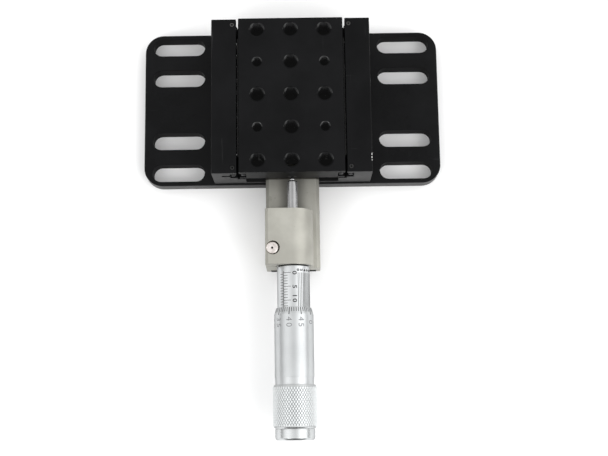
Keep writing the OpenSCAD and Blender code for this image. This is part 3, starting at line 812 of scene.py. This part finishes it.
def socketScrew(bm, place, foot, seat, top, look):
    shank, chamfer, head, edge, count = pick(look, "shank footChamfer head edge around")
    profile = [(0, foot), (shank - chamfer, foot), (shank, foot + chamfer), (shank, seat), (head, seat)]
    for k in range(4):
        a = math.pi / 6 * k
        profile.append((head - edge * (1 - math.cos(a)), top - edge * (1 - math.sin(a))))
    rings = lathe(bm, profile, place, count)
    hexagon, side = [], math.pi / 3
    for level in (top, top - look["depth"]):
        angles = [fullTurn * i / count for i in range(count)]
        reach = [look["socket"] / math.cos((a + side / 2) % side - side / 2) for a in angles]
        hexagon.append(newLoop(bm, [place(r, level, a) for r, a in zip(reach, angles)]))
    wallBetween(bm, rings[-1], hexagon[0])
    bottom = newLoop(bm, [place(0, top - look["depth"] - look["cone"], 0)])
    skin(bm, [*hexagon, bottom], 1)  # the socket is dark inside


def makeClampScrew(look):
    low, high = spanOf("clamp_screw")
    middle = (low + high) / 2
    bm = bmesh.new()
    place = upright(middle.x + look["shift"], middle.y)
    socketScrew(bm, place, low.z, high.z - look["headHeight"], high.z + look["raised"], look)
    makePiece("clampScrewHex", bm, "paleScrew blackOxide", "base", ("clamp_screw",))


def makeSetScrews(look):
    low, high = spanOf("rod_set_screws")
    radius = look["head"]
    bm = bmesh.new()
    for x in (low.x + radius, high.x - radius):
        for y in (low.y + radius, high.y - radius):
            socketScrew(bm, upright(x, y), low.z, (low.z + high.z) / 2, high.z, look)
    makePiece("rodSetScrewsHex", bm, "wornScrew blackOxide", "base", ("rod_set_screws",))


makeClampScrew(clampLook)
makeSetScrews(setScrewLook)

# return springs: close-wound wire with a hook round the post at each end
springLook = dict(
    coils=20, wire=0.2, outer=2.0, perTurn=16, sides=8, sharp=60,
    hook=1.27, hookTurn=235, hookSteps=22, neck=2.27,
)


def springPath(x, z, near, far, look):
    hook, sweep, steps = look["hook"], look["hookTurn"], look["hookSteps"]

    def hookAt(y, first):  # open loop round a post, from this angle on
        angles = [math.radians(first + sweep * k / steps) for k in range(steps + 1)]
        return [(x + hook * math.sin(a), y + hook * math.cos(a), z) for a in angles]

    radius = look["outer"] - look["wire"]
    start, end = near + look["neck"], far - look["neck"]
    total, lead = look["coils"] * look["perTurn"], look["perTurn"] // 2
    coils = []
    for k in range(total + 1):
        grow = radius * min(1, (k + 1) / lead, (total - k + 1) / lead)
        a = fullTurn * k / look["perTurn"]
        coils.append((x + grow * math.sin(a), start + (end - start) * k / total, z + grow * math.cos(a)))
    return hookAt(near, -sweep) + coils + hookAt(far, 180)


def makeSpring(node, look):
    x, z = middleOf(node)[::2]
    near, far = (middleOf(post)[1] for post in ("body_spring_posts", "carriage_spring_posts"))
    bm = bmesh.new()
    tube(bm, springPath(x, z, near, far, look), look["wire"], look["sides"])
    piece = makePiece(node + "_wound", bm, "springSteel", None, (node,), look["sharp"])
    start, end = ((x * mm, y * mm, z * mm) for y in (near + look["neck"], far - look["neck"]))
    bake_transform(piece)


for node in ("left_return_spring", "right_return_spring"):
    makeSpring(node, springLook)

# micrometer: graduated sleeve, spindle with ball tip, thimble with knurl, end cap
sleeveLook = dict(
    wall=1.4, edge=0.15, frontEdge=0.08, gap=0.42, gapDepth=0.6, around=128, sealLap=0.3, sealAround=96,
)
spindleLook = dict(
    radius=2.0, chamfer=0.5, edge=0.12, noseSet=0.35, threadStart=-72.37, threadLead=1.25,
    thread=3.25, web=-109.37, stub=2.5, around=64,
)
tipLook = dict(segments=32, rings=20, sharp=60)
thimbleLook = dict(
    bore=6.05, front=6.35, frontEdge=0.06, bevel=2.5, bevelRound=0.2, barrel=7.125,
    groove=0.25, grooveEdge=0.05, grooveDepth=0.22, grooveFoot=0.08, web=-109.37, stub=2.52,
    knurlStart=-105.92, knurls=48, knurlPitch=1.6, knurlDepth=0.24, knurlTop=0.66,
    lead=0.45, leadDrop=0.12, tailLead=0.5, tailDrop=0.36, sharp=26,
)
capLook = dict(
    chamferIn=0.5, chamferAlong=0.75, edge=0.15, edgeSteps=4, rim=0.12, stud=1.25,
    joint=-121.22, neck=0.15, neckRadius=6.75, neckLap=0.2, around=96,
)


def makeSleeve(look):
    low, high = spanOf("graduated_sleeve")
    radius, inner, front = high.x, high.x - look["wall"], high.y - look["gap"]
    outline = roundCorners([
        (inner, front, 0), (inner, low.y, 0), (radius, low.y, look["edge"]),
        (radius, front, look["frontEdge"])])
    outer, lap = radius - look["gapDepth"], front - look["sealLap"]
    shadowRing = [(inner, lap), (outer, lap), (outer, high.y), (inner, high.y)]  # dark ring by the clamp block, a painted shadow in the gap
    makePiece("sleeveSeal", turned(shadowRing, look["sealAround"], True), "blackRubber", "base")
    bm = turned(outline, look["around"], True)
    makePiece("graduatedSleeve", bm, "sleeveChrome", "base", ("graduated_sleeve",))


def makeSpindle(look):
    low, high = spanOf("spindle")
    nose = high.y - look["noseSet"]  # the ball tip's seat
    radius, chamfer, edge, thread, web, stub = pick(look, "radius chamfer edge thread web stub")
    outline = roundCorners([
        (0, nose, 0), (radius - chamfer, nose, edge), (radius, nose - chamfer, edge),
        (radius, look["threadStart"] + look["threadLead"], 0), (thread, look["threadStart"], 0),
        (thread, web, 0), (stub, web, 0), (stub, low.y, 0), (0, low.y, 0)])
    bm = turned(outline, look["around"])
    makePiece("micrometerSpindle", bm, "groundSteel", "thimble", ("spindle",))


def makeTip(look):
    low, high = spanOf("ball_tip")
    bm = bmesh.new()
    addBall(bm, (0, (low.y + high.y) / 2, axisHeight), (high.y - low.y) / 2, look)
    makePiece("ballTipPolished", bm, "tipSteel", "tip", ("ball_tip",), look["sharp"])


def knurlBetween(bm, first, last, peak, valley, look):  # flat-topped diamonds; returns both end rows
    count, top = 2 * look["knurls"], look["knurlTop"]
    rows = 2 * round((first - last) / look["knurlPitch"])
    step, turn = (last - first) / rows, fullTurn / count
    grid = []
    for k in range(rows + 1):  # valley crossings; both end rows are whole
        whole, y = k in (0, rows), first + step * k
        grid.append([bm.verts.new(onAxis(valley, y, turn * i)) if whole or (i + k) % 2 == 0 else None
                     for i in range(count)])
    for k in range(rows + 1):
        for i in range(count):
            if (i + k) % 2 == 0:
                continue
            left, right = grid[k][i - 1], grid[k][(i + 1) % count]
            if k in (0, rows):
                bm.faces.new((left, grid[k][i], right, grid[1 if k == 0 else rows - 1][i]))
                continue
            spots = [(k + dk * top, i + di * top) for di, dk in ((-1, 0), (0, -1), (1, 0), (0, 1))]
            crown = newLoop(bm, [onAxis(peak, first + step * a, turn * b) for a, b in spots])
            bm.faces.new(crown)
            wallBetween(bm, [left, grid[k - 1][i], right, grid[k + 1][i]], crown)
    return grid[0], grid[-1]


def makeThimble(look):
    low, high = spanOf("thimble")
    peak, valley = high.x, high.x - look["knurlDepth"]
    bore, barrel, stub, web, start = pick(look, "bore barrel stub web knurlStart")
    count, foot = 2 * look["knurls"], barrel - look["grooveDepth"]
    shell = roundCorners([
        (bore, high.y, 0), (look["front"], high.y, look["frontEdge"]),
        (barrel, high.y - look["bevel"], look["bevelRound"]),
        (barrel, start + look["groove"], look["grooveEdge"])])
    shell += [(foot, start + look["grooveFoot"]), (foot, start), (valley - look["leadDrop"], start)]
    bm = bmesh.new()
    made = lathe(bm, shell, onAxis, count)
    rows = knurlBetween(bm, start - look["lead"], low.y + look["tailLead"], peak, valley, look)
    wallBetween(bm, made[-1], rows[0])
    tail = [(valley - look["tailDrop"], low.y), (stub, low.y), (stub, web), (bore, web)]
    tail = lathe(bm, tail, onAxis, count)
    wallBetween(bm, tail[-1], made[0])
    wallBetween(bm, rows[1], tail[0], 1)  # the knurl's end has a polished chamfer
    finish = "thimbleChrome capChrome"
    makePiece("knurledThimble", bm, finish, "thimble", ("thimble",), look["sharp"])


def makeCap(look):
    low, high = spanOf("end_cap")
    radius, stud, joint, wide = high.x, look["stud"], look["joint"], look["neckRadius"]
    seam = joint - look["neck"]
    outline = roundCorners([
        (0, low.y, 0), (radius - look["chamferIn"], low.y, look["edge"]),
        (radius, low.y + look["chamferAlong"], look["edge"]), (radius, seam, look["rim"]),
        (stud, seam, 0), (stud, high.y, 0), (0, high.y, 0)], look["edgeSteps"])
    lap = seam - look["neckLap"]
    neck = [(stud, lap), (wide, lap), (wide, joint), (stud, joint)]  # narrow ring between knurl and cap
    makePiece("capNeck", turned(neck, look["around"], True), "capChrome", "thimble")
    bm = turned(outline, look["around"])
    makePiece("polishedEndCap", bm, "capChrome", "thimble", ("end_cap",))


makeSleeve(sleeveLook)
makeSpindle(spindleLook)
makeTip(tipLook)
makeThimble(thimbleLook)
makeCap(capLook)


# scale marks are drawn flat, u round the cylinder and v along it, and then wrapped
def bar(bm, u, v, width, length, look):
    corners = [(u, v), (u + width, v), (u + width, v + length), (u, v + length)]
    low, high = (newLoop(bm, [(*p, level) for p in corners]) for level in (-look["sink"], look["rise"]))
    bm.faces.new(low)
    bm.faces.new(high)
    wallBetween(bm, low, high)


def figures(bm, text, u, v, look):  # digits that read towards -v with their tops at +u
    curve = bpy.data.curves.new("figures", "FONT")
    curve.body, curve.resolution_u = text, look["curveSteps"]
    curve.space_character, curve.offset = look["spacing"], look["bold"]
    item = addObject("figures", curve)
    part = bmesh.new()
    part.from_mesh(item.evaluated_get(bpy.context.evaluated_depsgraph_get()).to_mesh())
    bpy.data.objects.remove(item)
    bpy.data.curves.remove(curve)
    across, up = [p.co.x for p in part.verts], [p.co.y for p in part.verts]
    middleX, middleY = (min(across) + max(across)) / 2, (min(up) + max(up)) / 2
    size, spread = look["figureHeight"] / (max(up) - min(up)), look["spread"]
    for p in part.verts:
        p.co = (u + (p.co.y - middleY) * size, v - (p.co.x - middleX) * size * spread, -look["sink"])
    bmesh.ops.remove_doubles(part, verts=part.verts, dist=1e-4)
    grown = bmesh.ops.extrude_face_region(part, geom=part.faces[:], use_keep_orig=True)["geom"]
    for p in grown:
        if isinstance(p, bmesh.types.BMVert):
            p.co.z = look["rise"]
    copy = bpy.data.meshes.new("figures")
    part.to_mesh(copy)
    part.free()
    bm.from_mesh(copy)
    bpy.data.meshes.remove(copy)


def wrapMarks(bm, reach, radiusAt, seams=(), step=0.25):  # bends flat marks round the micrometer's axis
    lowU, highU = min(p.co.x for p in bm.verts), max(p.co.x for p in bm.verts)
    cuts = [((lowU + step * k, 0, 0), (1, 0, 0)) for k in range(1, int((highU - lowU) / step) + 1)]
    cuts += [((0, seam, 0), (0, 1, 0)) for seam in seams]
    for spot, way in cuts:
        everything = bm.verts[:] + bm.edges[:] + bm.faces[:]
        bmesh.ops.bisect_plane(bm, geom=everything, dist=1e-5, plane_co=spot, plane_no=way)
    for p in bm.verts:
        p.co = onAxis(radiusAt(p.co.y) + p.co.z, p.co.y, p.co.x / reach)


sleeveScaleLook = dict(
    datum=-36.6,  # degrees from the top
    datumLine=0.2, datumTail=0.5, datumLead=0.7, zero=-65.95, length=25,
    line=0.17, whole=1.6, fifth=2.8, half=1.4, gap=0.12, sink=0.08, rise=0.012,
    figureOut=4.3, figureHeight=1.6, spread=1.25, spacing=1.25, bold=0.018, curveSteps=4,
    singleShift=-0.15, pairShift=0.48,
    vernierStart=17.3, vernierStep=6.48, vernierLines=11, vernierLine=0.2, vernierEnd=-91.4,
    vernierOut=0.95, vernierFigures=dict(figureHeight=1.0, spread=1.3, bold=0.05),
)
thimbleScaleLook = dict(
    atDatum=36.8, divisions=50, line=0.25, fifthLine=0.33, short=1.6, fifth=2.65, start=0.12,
    figureIn=5.45, figureHeight=2.1, spread=1.05, spacing=1.36, bold=0.0, curveSteps=4,
    sink=0.07, rise=0.012,
)


def makeSleeveScale(look):
    reach = spanOf("graduated_sleeve")[1].x
    arc = math.radians(1) * reach  # mm round the sleeve for each degree
    datum, zero, line, gap = look["datum"] * arc, look["zero"], look["line"], look["gap"]
    bm = bmesh.new()
    tail, lead, wide, length = pick(look, "datumTail datumLead datumLine length")
    bar(bm, datum - wide / 2, zero - length - tail, wide, length + tail + lead, look)
    for k in range(length + 1):
        y = zero - k
        bar(bm, datum + gap, y - line / 2, look["whole" if k % 5 else "fifth"], line, look)
        if k < length:
            bar(bm, datum - gap - look["half"], y - 0.5 - line / 2, look["half"], line, look)
        if k % 5 == 0:
            shift = look["singleShift" if k < 10 else "pairShift"]
            figures(bm, str(k), datum + look["figureOut"], y + shift, look)
    line, end, small = look["vernierLine"], look["vernierEnd"], {**look, **look["vernierFigures"]}
    for k in range(look["vernierLines"]):
        u = (look["vernierStart"] + look["vernierStep"] * k) * arc
        bar(bm, u - line / 2, end, line, zero - end, look)
        if k % 2 == 0:
            figures(bm, str(k % 10), u, zero + look["vernierOut"], small)
    wrapMarks(bm, reach, lambda y: reach)
    makePiece("sleeveScale", bm, "sleeveInk", "base")


def makeThimbleScale(look, shape):
    front, reach = spanOf("thimble")[1].y, shape["barrel"]
    arc = math.radians(1) * reach

    def radiusAt(y):
        share = min(max((front - y) / shape["bevel"], 0), 1)
        return shape["front"] + (reach - shape["front"]) * share

    lines, numbers = bmesh.new(), bmesh.new()
    for k in range(look["divisions"]):
        angle = sleeveScaleLook["datum"] + (k - look["atDatum"]) * (360 / look["divisions"])
        u = ((angle + 180) % 360 - 180) * arc
        length, line = (look["short"], look["line"]) if k % 5 else (look["fifth"], look["fifthLine"])
        bar(lines, u - line / 2, front - look["start"] - length, line, length, look)
        if k % 5 == 0:
            figures(numbers, str(k), u, front - look["figureIn"], look)
    wrapMarks(lines, reach, radiusAt, (front - shape["bevel"],))
    wrapMarks(numbers, reach, radiusAt)
    makePiece("thimbleLines", lines, "thimbleInk", "thimble")
    makePiece("thimbleNumbers", numbers, "paleInk", "thimble")


makeSleeveScale(sleeveScaleLook)
makeThimbleScale(thimbleScaleLook, thimbleLook)

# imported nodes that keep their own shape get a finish
nodeFinishes = dict(
    blackOxide=("base_plate_screws", "preload_screws", "bracket_screws", "contact_pad"),
    machinedSteel=("micrometer_barrel", "adjusting_nut", "body_spring_posts", "carriage_spring_posts"),
    cageStrip=("left_ball_cage", "right_ball_cage"),
)
for finish, nodes in nodeFinishes.items():
    for node in nodes:
        for slot in frame["nodes"][node].material_slots:
            slot.material = finishes[finish]
        print("finish on", node, finish)

# floor and light
floorLook = dict(white=0.87, glow=0.06, size=6.0)  # glow is seen, and lights nothing
lightLook = dict(
    overhead=1.20,
    dome=(1.65, 0.95),  # radians from vertical where the overhead light starts and is full
    horizon=(-0.5, 0.5, 0.50, 0.78),  # left to right: start, end and the values there, as below
    above=(0.42, 0.06, 0, 0.28),  # the camera's own shade
    behind=(0.03, 0.32, 1.0, 0.95),
    low=(0.0, 0.42, 0.5, 1.0),
    front=(-0.62, -0.90, 1.0, 0.12),  # the photographer's side is darker
    # glows: radians right of vertical, reach, strength
    glows=((0.74, 0.60, 0.64), (1.14, 0.24, 0.75), (-0.80, 0.50, 0.16)),
    boxes=dict(
        keyBox=dict(place=(0.58, -0.60, 0.78), size=0.5, power=3.4),
        fillBox=dict(place=(-0.58, -0.60, 0.74), size=0.4, power=2.2),
    ),
)


def makeFloor(look):
    bm = bmesh.new()
    half = look["size"] / 2
    bm.faces.new(newLoop(bm, [(-half, -half, 0), (half, -half, 0), (half, half, 0), (-half, half, 0)]))
    mesh = bpy.data.meshes.new("floor")
    bm.to_mesh(mesh)
    bm.free()
    start = startMaterial("paleFloor")[0]
    camera, glossy, through = (
        start.add("LightPath", out="Is %s Ray" % kind) for kind in ("Camera", "Glossy", "Transmission"))
    seen = (camera + glossy + through).fade(0, 1)
    paper = start.add("BsdfDiffuse", {}, {"Color": (look["white"],) * 3 + (1,)})
    glow = start.add("Emission", {}, {"Color": (1, 1, 1, 1), "Strength": seen * look["glow"]})
    start.add("OutputMaterial", {}, {"Surface": start.add("AddShader", {}, {0: paper, 1: glow})})
    mesh.materials.append(finishes["paleFloor"])
    floor = addObject("floor", mesh)


def makeLight(look):
    world = bpy.data.worlds.new("studio")
    world.use_nodes = True
    world.node_tree.nodes.clear()
    start = Wire(world.node_tree)
    way = start.add("TexCoord", out="Generated")
    across, ahead, up = (start.add("SeparateXYZ", {}, {0: way}, axis) for axis in range(3))
    angle = start.maths("ARCTAN2", across, up)
    level = abs(angle).fade(*look["dome"])
    glow = across.fade(*look["horizon"]) * (1 - level) + look["overhead"] * level
    for middle, reach, strength in look["glows"]:
        glow = glow + abs(angle - middle).fade(reach, 0, 0, strength)
    glow = glow - abs(angle).fade(*look["above"])
    glow = glow * ahead.fade(*look["behind"]) * up.fade(*look["low"]) * ahead.fade(*look["front"])
    tone = start.add("CombineColor", {}, {0: glow, 1: glow, 2: glow})
    start.add("OutputWorld", {}, {"Surface": start.add("Background", {}, {"Color": tone, "Strength": 1.0})})
    bpy.context.scene.world = world
    for name, box in look["boxes"].items():
        data = bpy.data.lights.new(name, "AREA")
        data.energy, data.size = box["power"], box["size"]
        lamp = addObject(name, data)
        lamp.location = box["place"]
        lamp.rotation_euler = (-Vector(box["place"])).to_track_quat("-Z", "Y").to_euler()


makeFloor(floorLook)
makeLight(lightLook)
bpy.context.scene.view_settings.view_transform = "Standard"
print("floor and light set")

bpy.context.view_layer.update()
